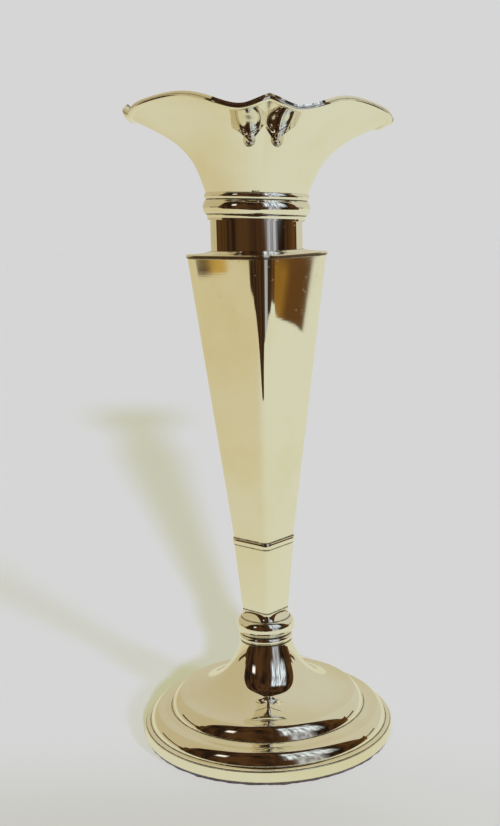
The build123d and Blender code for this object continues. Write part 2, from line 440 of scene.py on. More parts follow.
class Shape:
    """A mesh under construction, in millimetres."""

    def __init__(self) -> None:
        """Start with nothing."""
        self.bm = bmesh.new()

    @classmethod
    def turned(cls, points: Sequence[Point], steps: int = TURN_STEPS) -> "Shape":
        """Spin a closed half section about the upright axis.

        Args:
            points: radius and height of each corner, in order.
            steps: divisions of the full turn.

        Returns:
            The closed shape.
        """
        shape = cls()
        verts = [shape.bm.verts.new((radius, 0.0, height)) for radius, height in points]
        edges = [shape.bm.edges.new(pair) for pair in zip(verts, verts[1:] + verts[:1])]
        bmesh.ops.spin(
            shape.bm,
            geom=verts + edges,
            cent=(0.0, 0.0, 0.0),
            axis=(0.0, 0.0, 1.0),
            angle=math.tau,
            steps=steps,
            use_merge=True,
        )
        return shape.outward()

    @classmethod
    def stacked(
        cls, rings: Sequence[Sequence[Vector]], closed: bool = True, residue: Sequence[float] = ()
    ) -> "Shape":
        """Draw a ring up through others with as many corners.

        Args:
            rings: corners of each ring.
            closed: whether the last ring is joined to the first.
            residue: amount of residue at each corner of every ring.

        Returns:
            The shape.
        """
        shape = cls()
        layer = shape.bm.verts.layers.float.new(GRIME_AND_SHADE)
        amounts = residue or [0.0] * len(rings[0])
        verts = bmesh.ops.create_circle(shape.bm, segments=len(rings[0]), radius=1.0)["verts"]
        first = edges = shape.bm.edges[:]
        for number, ring in enumerate(rings):
            if number > 0:
                made = bmesh.ops.extrude_edge_only(shape.bm, edges=edges)["geom"]
                edges = [part for part in made if isinstance(part, bmesh.types.BMEdge)]
                fresh = {part for part in made if isinstance(part, bmesh.types.BMVert)}
                beside = [[edge.other_vert(vert) for edge in vert.link_edges] for vert in verts]
                verts = [next(other for other in others if other in fresh) for others in beside]
            for vert, corner, amount in zip(verts, ring, amounts):
                vert.co = corner
                vert[layer] = amount
        if closed:
            bmesh.ops.bridge_loops(shape.bm, edges=first + edges)
        return shape.outward()

    def outward(self) -> "Shape":
        """Turn every face outwards."""
        bmesh.ops.recalc_face_normals(self.bm, faces=self.bm.faces)
        return self

    def walled(self, thickness: float) -> "Shape":
        """Give an open skin a wall on its inner side."""
        bmesh.ops.solidify(self.bm, geom=self.bm.faces[:], thickness=thickness)
        return self

    def cut(self, point: Sequence[float], normal: Sequence[float]) -> "Shape":
        """Cut away what lies beyond a plane, and leave the cut open."""
        parts = self.bm.verts[:] + self.bm.edges[:] + self.bm.faces[:]
        bmesh.ops.bisect_plane(self.bm, geom=parts, plane_co=point, plane_no=normal, clear_outer=True)
        return self

    def rims(self) -> list[bmesh.types.BMEdge]:
        """Open edges of the shape."""
        return [edge for edge in self.bm.edges if edge.is_boundary]

    def capped(self) -> "Shape":
        """Close each open end with a face."""
        bmesh.ops.holes_fill(self.bm, edges=self.rims())
        return self.outward()

    def soiled(self, creases: Sequence[Point], reach: float) -> "Shape":
        """Mark how much residue lies at each vertex, from its distance to the nearest crease.

        Args:
            creases: radius and height of each crease ring, or ANY_RADIUS and a height.
            reach: distance in which the residue fades.

        Returns:
            This shape.
        """

        def near(place: Vector) -> float:
            """Residue at a place."""
            radius = place.xy.length
            gaps = [math.hypot(0.0 if r == ANY_RADIUS else radius - r, place.z - z) for r, z in creases]
            return math.exp(-((min(gaps) / reach) ** 2))

        return self.stained_and_shaded(near)

    def stained_and_shaded(self, amount: Callable[[Vector], float]) -> "Shape":
        """Mark the amount of residue, and of painted shade, at each vertex from its place."""
        layer = self.bm.verts.layers.float.get(GRIME_AND_SHADE) or self.bm.verts.layers.float.new(GRIME_AND_SHADE)
        for vert in self.bm.verts:
            vert[layer] = amount(vert.co)
        return self

    def moved(self, matrix: Matrix) -> "Shape":
        """Turn and move the whole shape."""
        bmesh.ops.transform(self.bm, matrix=matrix, verts=self.bm.verts)
        return self

    def shown(self, name: str, material: bpy.types.Material) -> bpy.types.Object:
        """Put the shape into the scene.

        Args:
            name: the object's name.
            material: its finish.

        Returns:
            The new object, at the origin.
        """
        mesh = bpy.data.meshes.new(name)
        self.bm.to_mesh(mesh)
        self.bm.free()
        mesh.materials.append(material)
        mesh.shade_smooth()
        made = bpy.data.objects.new(name, mesh)
        bpy.context.scene.collection.objects.link(made)
        return made

    def piece(self, name: str, material: bpy.types.Material, slot: Slot, *nodes: str) -> None:
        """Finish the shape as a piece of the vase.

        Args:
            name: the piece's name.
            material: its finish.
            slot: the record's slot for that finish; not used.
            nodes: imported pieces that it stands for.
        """
        bmesh.ops.scale(self.bm, vec=(MM, MM, MM), verts=self.bm.verts)
        made = self.shown(name, material)
        made.data.set_sharp_from_angle(angle=SHARP_EDGE)
        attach(made, "root")
        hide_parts(*nodes)
        log.info("%s: %d faces", name, len(made.data.polygons))


def bead(bottom: float, top: float, bore: float, lower: float, crown: float, upper: float) -> list[Point]:
    """Half section of a ring that is round outside.

    Args:
        bottom: height of the lower seat.
        top: height of the upper seat.
        bore: inner radius.
        lower: outer radius at the lower seat.
        crown: outer radius half way up.
        upper: outer radius at the upper seat.

    Returns:
        The closed section.
    """
    outline = Outline((bore, bottom)).line((lower, bottom))
    return outline.arc((crown, (bottom + top) / 2), (upper, top), 2 * ARC_STEPS).line((bore, top)).pinched()


def round_ring(level: float, radius: float, angles: Sequence[float]) -> list[Vector]:
    """Corners of a circle at given angles and a level."""
    return [Vector((radius * math.cos(a), radius * math.sin(a), level)) for a in angles]


def square_ring(level: float, side: float, corner: float) -> list[Vector]:
    """Corners of a square with rounded corners, with points along its flats.

    Args:
        level: height of the ring.
        side: width over the flats.
        corner: radius of the corners.

    Returns:
        The points, anticlockwise.
    """
    flats, arcs = 14, 10
    ring = []
    inner = side / 2 - corner
    for quarter in range(4):
        turn = Matrix.Rotation(quarter * math.pi / 2, 3, "Z")
        for step in range(flats):
            ring.append(turn @ Vector((side / 2, inner * (2 * step / flats - 1), level)))
        for step in range(arcs):
            angle = math.pi / 2 * step / arcs
            x, y = (inner + corner * share for share in (math.cos(angle), math.sin(angle)))
            ring.append(turn @ Vector((x, y, level)))
    return ring


@dataclass
class Foot:
    """Round foot: felt, plain band and stepped, spun shell."""

    silver: bpy.types.Material
    felt: bpy.types.Material
    sheet: float = 0.8
    band_wall: float = 1.2
    band_ease: float = 0.25
    edge_height: float = 0.4
    ledge: Point = (1.4, 0.2)
    lower_step: Point = (5.0, 4.0)
    tread: Point = (2.0, 0.5)
    upper_step: Point = (5.6, 4.4)
    face_width: float = 0.52
    face_rise: float = 0.96
    face_bulge: float = 0.5
    dome_sag: float = 3.8
    stem_radius: float = 8.2
    stud_bore: float = 2.65
    residue_reach: float = 0.26
    band_crease: float = 0.4
    ease_middle: float = 0.3
    felt_inner: float = 0.2
    felt_fray: float = 0.35
    fray_scale: float = 0.35
    felt_fuzz: float = 0.3
    fuzz_scale: float = 1.4

    def skin(self, inset: float) -> list[Point]:
        """Outline of the shell from its edge up to the stem, drawn in and down by an inset."""
        low, high = box_mm("foot_shell")
        edge = high.x - inset
        floor = low.z + self.edge_height - inset
        lower = (edge - self.ledge[0], floor + self.ledge[1])
        tread = (lower[0] - self.lower_step[0], lower[1] + self.lower_step[1])
        upper = (tread[0] - self.tread[0], tread[1] + self.tread[1])
        dome = (upper[0] - self.upper_step[0], upper[1] + self.upper_step[1])
        stem = (self.stem_radius - inset, high.z - inset)
        chord = Vector(stem) - Vector(dome)
        hollow = Vector((-chord.y, chord.x)).normalized() * self.dome_sag
        outline = Outline((edge, low.z)).line((edge, floor), lower)
        self.step_up(outline, lower, self.lower_step).line(tread, upper)
        self.step_up(outline, upper, self.upper_step).line(dome)
        outline.arc(tuple(Vector(dome) + chord / 2 + hollow), stem, 3 * ARC_STEPS)
        return outline.points

    def step_up(self, outline: Outline, start: Point, size: Point) -> Outline:
        """Add the rounded face of a step, which ends short of its flat tread.

        Args:
            outline: outline that ends at the foot of the step.
            start: foot of the step.
            size: width and rise of the whole step.

        Returns:
            The outline.
        """
        run = Vector((-size[0] * self.face_width, size[1] * self.face_rise))
        bulge = Vector((run.y, -run.x)).normalized() * self.face_bulge
        return outline.arc(tuple(Vector(start) + run / 2 + bulge), tuple(Vector(start) + run))

    def build_shell(self) -> None:
        """Spin the stepped shell with its wall, with residue at its edge, its steps and its stem."""
        outside, inside = self.skin(0.0), self.skin(self.sheet)
        top = outside[-1][1]
        bore = [(self.stud_bore, top), (self.stud_bore, top - self.sheet)]
        inside[0] = (inside[0][0], outside[0][1])
        creases = [outside[2], outside[4 + ARC_STEPS], outside[0], outside[-1]]
        outline = Outline(outside[0]).line(*outside[1:], *bore, *inside[::-1])
        shape = Shape.turned(outline.pinched()).soiled(creases, self.residue_reach)
        shape.piece("foot_stepped_shell", self.silver, Slot.SILVER, "foot_shell")

    def build_band(self) -> None:
        """Spin the plain band with eased edges."""
        low, high = box_mm("foot_band")
        ease = self.band_ease
        halfway = self.ease_middle * ease
        inner = high.x - self.band_wall
        outline = Outline((inner, low.z)).line((high.x - ease, low.z))
        outline.arc((high.x - halfway, low.z + halfway), (high.x, low.z + ease), EASE_STEPS)
        outline.line((high.x, high.z - ease))
        outline.arc((high.x - halfway, high.z - halfway), (high.x - ease, high.z), EASE_STEPS)
        outline.line((inner, high.z))
        creases = [(high.x, low.z), (high.x - self.band_crease, high.z)]
        shape = Shape.turned(outline.pinched()).soiled(creases, self.residue_reach)
        shape.piece("foot_plain_band", self.silver, Slot.SILVER, "foot_band")

    def build_felt(self) -> None:
        """Make the felt disc with its frayed edge."""
        low, high = box_mm("base_felt")
        angles = [math.tau * step / TURN_STEPS for step in range(TURN_STEPS)]
        inner = high.x * self.felt_inner
        edges = [round_ring(level, high.x, angles) for level in (low.z, high.z)]
        for corner in edges[0] + edges[1]:
            fray = noise.noise(corner * self.fray_scale) * self.felt_fray
            fuzz = noise.noise(corner * self.fuzz_scale) * self.felt_fuzz
            corner.xy *= 1.0 + (fray + fuzz) / high.x
        rings = [round_ring(low.z, inner, angles), *edges, round_ring(high.z, inner, angles)]
        shape = Shape.stacked(rings, closed=False).capped()
        shape.piece("foot_felt", self.felt, Slot.FELT, "base_felt")

    def build(self) -> None:
        """Make every piece of the foot."""
        self.build_shell()
        self.build_band()
        self.build_felt()


@dataclass
class Stem:
    """Ring, knop and small square foot between the foot and the body."""

    silver: bpy.types.Material
    bore: float = 2.65
    ring_seat: float = 8.0
    knop_seat: float = 7.8
    square_side: float = 11.1
    square_corner: float = 1.4
    cove_rings: int = 10
    cove_power: float = 2.2
    ring_residue: float = 0.3
    cove_residue: float = 0.28

    def build(self) -> None:
        """Make the three mouldings."""
        turned = {"stem_thin_ring": ("stem_ring", self.ring_seat), "stem_knop": ("knop", self.knop_seat)}
        for name, (node, seat) in turned.items():
            low, high = box_mm(node)
            shape = Shape.turned(bead(low.z, high.z, self.bore, seat, high.x, seat))
            shape.soiled([(seat, low.z), (seat, high.z)], self.ring_residue)
            shape.piece(name, self.silver, Slot.SILVER, node)
        self.build_cove()

    def build_cove(self) -> None:
        """Draw the round seat on the knop up into the square of the body."""
        low, high = box_mm("body_foot")
        square = square_ring(high.z, self.square_side, self.square_corner)
        angles = [math.atan2(corner.y, corner.x) for corner in square]
        seat = round_ring(low.z, self.knop_seat, angles)
        rings = [round_ring(low.z, self.bore, angles)]
        for step in range(self.cove_rings + 1):
            rise = step / self.cove_rings
            spread = (1 - rise) ** self.cove_power
            ring = [b.lerp(a, spread) for a, b in zip(seat, square)]
            for corner in ring:
                corner.z = low.z + rise * (high.z - low.z)
            rings.append(ring)
        rings.append(round_ring(high.z, self.bore, angles))
        creases = [(self.knop_seat, low.z), (ANY_RADIUS, high.z)]
        shape = Shape.stacked(rings).soiled(creases, self.cove_residue)
        shape.piece("body_square_foot", self.silver, Slot.SILVER, "body_foot")


@dataclass
class Body:
    """Square body in two tapering lengths, with the band at its waist."""

    silver: bpy.types.Material
    sheet: float = 0.8
    bottom: Point = (11.1, 1.4)
    waist: Point = (14.4, 1.8)
    shoulder: Point = (32.4, 4.0)
    rows: int = 24
    end_gaps: Point = (0.15, 0.45)
    end_residue: float = 0.28
    band_overhang: float = 0.45
    band_ease: float = 0.5
    band_residue: float = 0.25

    def length(self, node: str, start: Point, end: Point) -> Shape:
        """Tapering length of square tube.

        Args:
            node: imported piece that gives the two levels.
            start: side and corner at the lower end.
            end: side and corner at the upper end.

        Returns:
            The tube with its wall.
        """
        low, high = box_mm(node)
        shares = [step / self.rows for step in range(self.rows + 1)]
        shares += [abs(far - gap / (high.z - low.z)) for far in (0.0, 1.0) for gap in self.end_gaps]
        rings = []
        for share in sorted(shares):
            side, corner = (a + share * (b - a) for a, b in zip(start, end))
            rings.append(square_ring(low.z + share * (high.z - low.z), side, corner))
        shape = Shape.stacked(rings, closed=False).walled(self.sheet)
        return shape.soiled([(ANY_RADIUS, low.z), (ANY_RADIUS, high.z)], self.end_residue)

    def build(self) -> None:
        """Make both lengths and the waist band."""
        lower = self.length("lower_body", self.bottom, self.waist)
        lower.piece("body_lower_length", self.silver, Slot.SILVER, "lower_body")
        upper = self.length("upper_body", self.waist, self.shoulder)
        upper.piece("body_upper_length", self.silver, Slot.SILVER, "upper_body")
        self.build_band()

    def build_band(self) -> None:
        """Make the square band with rounded edges."""
        low, high = box_mm("waist_band")
        side, corner = self.waist
        middle = (low.z + high.z) / 2
        half = (high.z - low.z) / 2
        bore = (side - 2 * self.sheet, corner - self.sheet)
        rings = [square_ring(low.z, *bore)]
        for step in range(2 * ARC_STEPS + 1):
            angle = math.pi * (step / (2 * ARC_STEPS) - 0.5)
            proud = self.band_overhang - self.band_ease * (1 - math.cos(angle))
            rings.append(square_ring(middle + half * math.sin(angle), side + 2 * proud, corner + proud))
        rings.append(square_ring(high.z, *bore))
        shape = Shape.stacked(rings).soiled([(ANY_RADIUS, low.z), (ANY_RADIUS, high.z)], self.band_residue)
        shape.piece("body_waist_band", self.silver, Slot.SILVER, "waist_band")


@dataclass
class Lean:
    """Slight lean of the collar and the mouth, in a direction turned from +X."""

    degrees: float = 3.0
    turn: float = 68.0
    level: float = 164.1

    def matrix(self) -> Matrix:
        """Turn and move from upright about the origin to the leaning place."""
        turn = math.radians(self.turn)
        tilt = Matrix.Rotation(math.radians(self.degrees), 4, Vector((-math.sin(turn), math.cos(turn), 0.0)))
        return Matrix.Translation((0.0, 0.0, self.level)) @ tilt


@dataclass
class Neck:
    """Shoulder plate, short neck and the three rings of the collar."""

    silver: bpy.types.Material
    lean: Lean
    sheet: float = 0.8
    radius: float = 14.0
    plate_corner: float = 4.4
    plate_edge: float = 1.0
    plate_ease: float = 0.25
    plate_rows: int = 12
    plate_lift: float = 0.35
    plate_sweep: int = 4
    plate_seat: float = 0.1
    neck_spare: float = 1.0
    residue_reach: float = 0.28
    collar: tuple[tuple[str, float, float, float, float], ...] = (
        ("collar_fillet", 1.7, 0.4, 0.9, 1.1),
        ("collar_bead", 4.4, 1.4, 2.3, 1.4),
        ("collar_top_bead", 2.2, 1.4, 1.9, 1.4),
    )

    def build(self) -> None:
        """Make the plate, the neck and the collar."""
        self.build_plate()
        self.build_neck()
        self.build_collar()

    def build_plate(self) -> None:
        """Draw the square edge of the shoulder in and up to the round neck."""
        low, high = box_mm("shoulder_plate")
        side, ease = 2 * high.x, self.plate_ease
        edge_top = low.z + self.plate_edge
        lip = square_ring(edge_top, side - 2 * ease, self.plate_corner - ease)
        angles = [math.atan2(corner.y, corner.x) for corner in lip]
        rings = [round_ring(low.z, self.radius, angles), square_ring(low.z, side, self.plate_corner)]
        for step in range(EASE_STEPS + 1):
            angle = math.pi / 2 * step / EASE_STEPS
            inset = ease * (1 - math.cos(angle))
            level = edge_top - ease + ease * math.sin(angle)
            rings.append(square_ring(level, side - 2 * inset, self.plate_corner - inset))
        brim, top = rings[-1], round_ring(high.z, self.radius + self.plate_seat, angles)
        for step in range(1, self.plate_rows + 1):
            share = step / self.plate_rows
            rise = self.plate_lift * share + (1 - self.plate_lift) * share**self.plate_sweep
            ring = [a.lerp(b, share) for a, b in zip(brim, top)]
            for corner in ring:
                corner.z = edge_top + (high.z - edge_top) * rise
            rings.append(ring)
        rings.append(round_ring(high.z, self.radius, angles))
        shape = Shape.stacked(rings)
        shape.soiled([(self.radius, high.z), (ANY_RADIUS, low.z)], self.residue_reach)
        shape.piece("shoulder_square_plate", self.silver, Slot.SILVER, "shoulder_plate")

    def build_neck(self) -> None:
        """Spin the neck and cut it square to the leaning collar."""
        low, high = box_mm("neck_tube")
        inner = self.radius - self.sheet
        top = high.z + self.neck_spare
        outline = Outline((inner, low.z)).line((self.radius, low.z), (self.radius, top), (inner, top))
        matrix = self.lean.matrix()
        shape = Shape.turned(outline.pinched())
        shape.cut(matrix.translation, matrix.to_3x3() @ Vector((0.0, 0.0, 1.0)))
        bmesh.ops.bridge_loops(shape.bm, edges=shape.rims())
        shape.outward().piece("neck_round_tube", self.silver, Slot.SILVER, "neck_tube")

    def build_collar(self) -> None:
        """Spin the collar's rings and lean them."""
        level = 0.0
        for node, height, *spreads in self.collar:
            lower, crown, upper = (self.radius + spread for spread in spreads)
            shape = Shape.turned(bead(level, level + height, self.radius, lower, crown, upper))
            shape.soiled([(lower, level), (upper, level + height)], self.residue_reach)
            shape.moved(self.lean.matrix()).piece(f"{node}_ring", self.silver, Slot.SILVER, node)
            level += height


@dataclass
class Mouth:
    """Trumpet mouth of four lobes, with a wire along the rim of each."""

    silver: bpy.types.Material
    lean: Lean
    sheet: float = 0.8
    radius: float = 14.0
    sleeve: float = 6.1
    stations: tuple[float, ...] = (0.0, 6.9, 12.9, 17.9, 21.9, 25.5, 29.5)
    corner_spread: tuple[float, ...] = (0.0, 2.5, 5.5, 9.9, 16.2, 22.7, 27.0)
    shoulder_spread: tuple[float, ...] = (0.0, 2.6, 6.2, 11.8, 19.3, 27.5, 35.2)
    middle_spread: tuple[float, ...] = (0.0, 2.6, 5.7, 9.4, 13.3, 17.4, 22.4)
    shoulder_angle: float = 32.0
    full_angle: float = 17.0
    fullness: float = 0.4
    rim_angles: tuple[float, ...] = (60.0, 45.0, 35.0, 22.0)
    rim_heights: tuple[float, ...] = (27.3, 27.3, 24.7, 26.3)
    crest: float = 28.7
    around: int = 480
    rows: int = 48
    rim_rows: tuple[float, ...] = (3.4, 3.0, 2.7, 2.4, 2.1, 1.8, 1.4, 0.8)
    line_place: float = 2.2
    line_width: float = 0.5
    seam_width: float = 0.55
    seam_length: float = 11.0
    seam_share: float = 0.8
    # Painted shade where each corner meets its rim wire
    corner_shade_width: float = 1.5
    corner_shade_length: float = 4.0
    corner_shade_share: float = 0.7
    clean_height: float = 1.0
    sleeve_rows: int = 4
    probe: float = 0.002
    strip_half: float = 0.9
    strip_proud: float = 0.8
    strip_squareness: float = 2.4
    strip_gap: float = 0.02
    strip_steps: int = 72
    strip_sides: int = 24
    strip_reach: float = 0.995
    strip_run_out: float = 3.0
    back_power: int = 3
    top_power: int = 8
    top_share: float = 0.75

    def __post_init__(self) -> None:
        """Work out the curves of the flare and of the rim."""
        self.corner_curve = Smooth(self.stations, self.corner_spread)
        self.shoulder_curve = Smooth(self.stations, self.shoulder_spread)
        self.middle_curve = Smooth(self.stations, self.middle_spread)
        half = (45.0, self.shoulder_angle, self.full_angle)
        self.corner_share = self.mirrored(half, (1.0, 0.0, 0.0), 0.0)
        self.shoulder_share = self.mirrored(half, (0.0, 1.0, self.fullness), 0.0)
        self.rim_curve = self.mirrored(self.rim_angles, self.rim_heights, self.crest)

    @staticmethod
    def mirrored(places: Sequence[float], values: Sequence[float], middle: float) -> Smooth:
        """Curve that is the same on both sides of its middle.

        Args:
            places: places on one side, from the end inwards.
            values: values at those places.
            middle: value in the middle.

        Returns:
            The curve.
        """
        stations = [-place for place in places] + [0.0, *reversed(places)]
        return Smooth(stations, [*values, middle, *reversed(values)])

    @staticmethod
    def from_middle(angle: float) -> float:
        """Angle from the middle of the nearest lobe."""
        return (angle + math.pi / 4) % (math.pi / 2) - math.pi / 4

    def spread(self, height: float, angle: float) -> float:
        """Radius of the outside at a height over the sleeve and an angle."""
        turn = math.degrees(self.from_middle(angle))
        middle = self.middle_curve(height)
        corner = self.corner_share(turn) * (self.corner_curve(height) - middle)
        shoulder = self.shoulder_share(turn) * (self.shoulder_curve(height) - middle)
        return self.radius + middle + corner + shoulder

    def rim(self, angle: float) -> float:
        """Height of the rim over the sleeve at an angle."""
        return self.rim_curve(math.degrees(self.from_middle(angle)))

    def point(self, height: float, angle: float) -> Vector:
        """Place on the outside at a height over the sleeve and an angle."""
        radius = self.spread(height, angle)
        return Vector((radius * math.cos(angle), radius * math.sin(angle), self.sleeve + height))

    def rim_point(self, angle: float) -> Vector:
        """Place on the rim at an angle."""
        return self.point(self.rim(angle), angle)

    def build(self) -> None:
        """Make the lobed mouth and its rim wires."""
        self.build_flare()
        for number in range(4):
            self.build_strip(number)

    def build_flare(self) -> None:
        """Draw the round sleeve up and out to the lobed rim."""
        angles = [math.tau * step / self.around for step in range(self.around)]
        rims = [self.rim(angle) for angle in angles]
        climbs = [self.climb(angle) for angle in angles]
        tops = [rim - self.rim_rows[0] / climb for rim, climb in zip(rims, climbs)]
        levels = [self.sleeve * step / self.sleeve_rows for step in range(self.sleeve_rows)]
        rings = [round_ring(level, self.radius, angles) for level in levels]
        for row in range(self.rows):
            share = row / self.rows
            rings.append([self.point(share * top, angle) for top, angle in zip(tops, angles)])
        for below in (*self.rim_rows, 0.0):
            heights = [rim - below / climb for rim, climb in zip(rims, climbs)]
            rings.append([self.point(height, angle) for height, angle in zip(heights, angles)])
        shape = Shape.stacked(rings, closed=False).walled(self.sheet)
        shape.stained_and_shaded(self.residue).moved(self.lean.matrix())
        shape.piece("mouth_lobed_flare", self.silver, Slot.SILVER, "mouth")

    def climb(self, angle: float) -> float:
        """Length along the outside at the rim per millimetre of height."""
        rim = self.rim(angle)
        return (self.point(rim, angle) - self.point(rim - 1.0, angle)).length

    def residue(self, place: Vector) -> float:
        """Dark line under the rim wire, residue down each corner's seam and painted shade at its top.

        Args:
            place: a point on the upright mouth.

        Returns:
            The amount from 0 to 1.
        """
        angle = math.atan2(place.y, place.x)
        height = place.z - self.sleeve
        inside = place.xy.length < self.spread(height, angle) - self.sheet / 2
        if height < self.clean_height or inside:
            return 0.0
        below = (self.rim(angle) - height) * self.climb(angle)
        line = math.exp(-(((below - self.line_place) / self.line_width) ** 2))
        aside = place.xy.length * math.sin(math.pi / 4 - abs(self.from_middle(angle)))
        seam = math.exp(-((aside / self.seam_width) ** 2)) * max(0.0, 1.0 - below / self.seam_length)
        # Painted shade where the corner meets the wire
        corner_shade = math.exp(-((aside / self.corner_shade_width) ** 2) - (below / self.corner_shade_length) ** 2)
        return min(1.0, line + self.seam_share * seam + self.corner_shade_share * corner_shade)

    def strip_ring(self, angle: float, run_out: float) -> list[Vector]:
        """Section of the rim wire at an angle, beside the outside of the lobe.

        Args:
            angle: angle from the middle of the lobe.
            run_out: how far the section is moved along the rim.

        Returns:
            Points of the slightly squared section.
        """
        step = self.probe
        height = self.rim(angle) - self.strip_half / self.climb(angle)
        here = self.point(height, angle)
        along = self.point(height, angle + step) - self.point(height, angle - step)
        up = (self.point(height + step, angle) - self.point(height - step, angle)).normalized()
        out = along.cross(up).normalized()
        ahead = self.rim_point(angle + step) - self.rim_point(angle - step)
        middle = here + out * (self.strip_proud + self.strip_gap) + ahead.normalized() * run_out
        power = self.strip_squareness
        ring = []
        for side in range(self.strip_sides):
            turn = math.tau * side / self.strip_sides
            c, s = math.cos(turn), math.sin(turn)
            reach = (abs(c) ** power + abs(s) ** power) ** (-1 / power)
            ring.append(middle + out * (reach * c * self.strip_proud) + up * (reach * s * self.strip_half))
        return ring

    def strip_residue(self, side: int) -> float:
        """Residue behind the wire and along its top, at one of the points of its section."""
        turn = math.tau * side / self.strip_sides
        back = max(0.0, -math.cos(turn)) ** self.back_power
        return back + self.top_share * max(0.0, math.sin(turn)) ** self.top_power

    def build_strip(self, number: int) -> None:
        """Run one wire along the rim of a lobe and mitre its ends."""
        spread = math.pi / 4 * self.strip_reach
        rings = [self.strip_ring(-spread, -self.strip_run_out)]
        for step in range(self.strip_steps + 1):
            rings.append(self.strip_ring(spread * (2 * step / self.strip_steps - 1), 0.0))
        rings.append(self.strip_ring(spread, self.strip_run_out))
        residue = [self.strip_residue(side) for side in range(self.strip_sides)]
        shape = Shape.stacked(rings, closed=False, residue=residue)
        for side in (-1.0, 1.0):
            shape.cut((0.0, 0.0, 0.0), (-1.0, side, 0.0))
        shape.capped().moved(self.lean.matrix() @ Matrix.Rotation(number * math.pi / 2, 4, "Z"))
        shape.piece(f"rim_flat_wire_{number + 1}", self.silver, Slot.SILVER, f"rim_wire_{number + 1}")


@dataclass
class Inside:
    """Pieces inside the foot and the body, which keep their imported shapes."""

    finishes: dict[Slot, bpy.types.Material]
    nodes: tuple[tuple[str, Slot], ...] = (
        ("base_plate", Slot.IRON),
        ("tie_stud", Slot.IRON),
        ("tie_nut", Slot.IRON),
        ("tie_washer", Slot.IRON),
        ("foot_loading", Slot.LOADING),
        ("body_plug", Slot.BRASS),
    )

    def dress(self) -> None:
        """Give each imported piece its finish."""
        for node, slot in self.nodes:
            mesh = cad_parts[node].data
            mesh.materials.clear()
            mesh.materials.append(self.finishes[slot])
            log.info("%s keeps its packed shape", node)


@dataclass(frozen=True)
class Patch:
    """Soft patch of colour on the wall of the room, by azimuth in degrees and height in metres."""

    left: float
    right: float
    low: float
    high: float
    color: Color
    soft: float
    soft_rise: float
    mottled: float


PATCHES = {
    "right_window": Patch(16.0, 66.0, 0.2, 0.72, (0.85, 0.95, 1.05), 5.0, 0.06, 0.8),
    "right_stripes": Patch(24.0, 52.0, -0.1, 0.24, (0.5, 0.52, 0.56), 4.0, 0.05, 0.6),
    "left_window": Patch(-53.0, -43.0, 0.25, 0.35, (1.1, 1.05, 1.0), 2.0, 0.03, 0.0),
    "left_ochre": Patch(-84.15, -82.5, -0.1, 0.03, (0.5, 0.3, 0.05), 0.12, 0.01, 0.0),
    "right_ochre": Patch(98.0, 99.7, -0.1, 0.045, (0.3, 0.15, 0.02), 0.3, 0.01, 0.5),
}


@dataclass(frozen=True)
class Wall:
    """One upright edge of the room's wall: azimuth in degrees, then distance, foot and top in metres."""

    azimuth: float
    distance: float
    foot: float
    top: float


ROOM = (
    Wall(-118.0, 1.0, 0.11, 0.18),
    Wall(-92.0, 1.0, 0.11, 0.18),
    Wall(-85.3, 1.0, 0.0, 0.25),
    Wall(-85.2, 0.74, 0.0, 0.25),
    Wall(-83.0, 0.735, 0.0, 0.3),
    Wall(-82.9, 1.0, 0.0, 0.4),
    Wall(-81.5, 1.0, 0.0, 0.45),
    Wall(-80.0, 0.64, 0.0, 0.55),
    Wall(-74.0, 0.55, 0.0, 0.9),
    Wall(-51.0, 0.42, 0.0, 1.5),
    Wall(-38.0, 0.365, 0.0, 2.0),
    Wall(-20.0, 0.286, 0.0, 2.6),
    Wall(-12.0, 0.262, 0.0, 3.0),
    Wall(5.0, 0.259, 0.0, 3.0),
    Wall(8.0, 0.3, 0.0, 3.2),
    Wall(15.0, 0.34, 0.0, 3.0),
    Wall(30.0, 0.36, 0.0, 2.6),
    Wall(47.0, 0.4, 0.0, 2.0),
    Wall(60.0, 0.45, 0.0, 1.7),
    Wall(80.0, 0.52, 0.0, 1.0),
    Wall(90.0, 0.6, 0.0, 0.5),
    Wall(95.0, 0.64, 0.0, 0.22),
    Wall(98.9, 0.65, 0.0, 0.2),
    Wall(99.3, 0.606, 0.0, 0.2),
    Wall(100.8, 0.586, 0.0, 0.2),
    Wall(101.4, 0.565, 0.0, 0.2),
    Wall(101.5, 1.0, 0.11, 0.18),
    Wall(118.0, 1.0, 0.11, 0.18),
)


@dataclass(frozen=True)
class Sun:
    """A distant light: azimuth right of the camera, elevation and width in degrees, strength by colour."""

    azimuth: float
    elevation: float
    width: float
    strength: Color

    def on_floor(self) -> Vector:
        """Light that a level white floor sends back."""
        return Vector(self.strength) * math.sin(math.radians(self.elevation)) / math.pi


SUNS = {
    "front_light": Sun(10.0, 18.0, 3.5, (3.2, 3.3, 7.4)),
    "side_light": Sun(38.0, 24.0, 6.0, (1.2, 1.25, 2.8)),
}


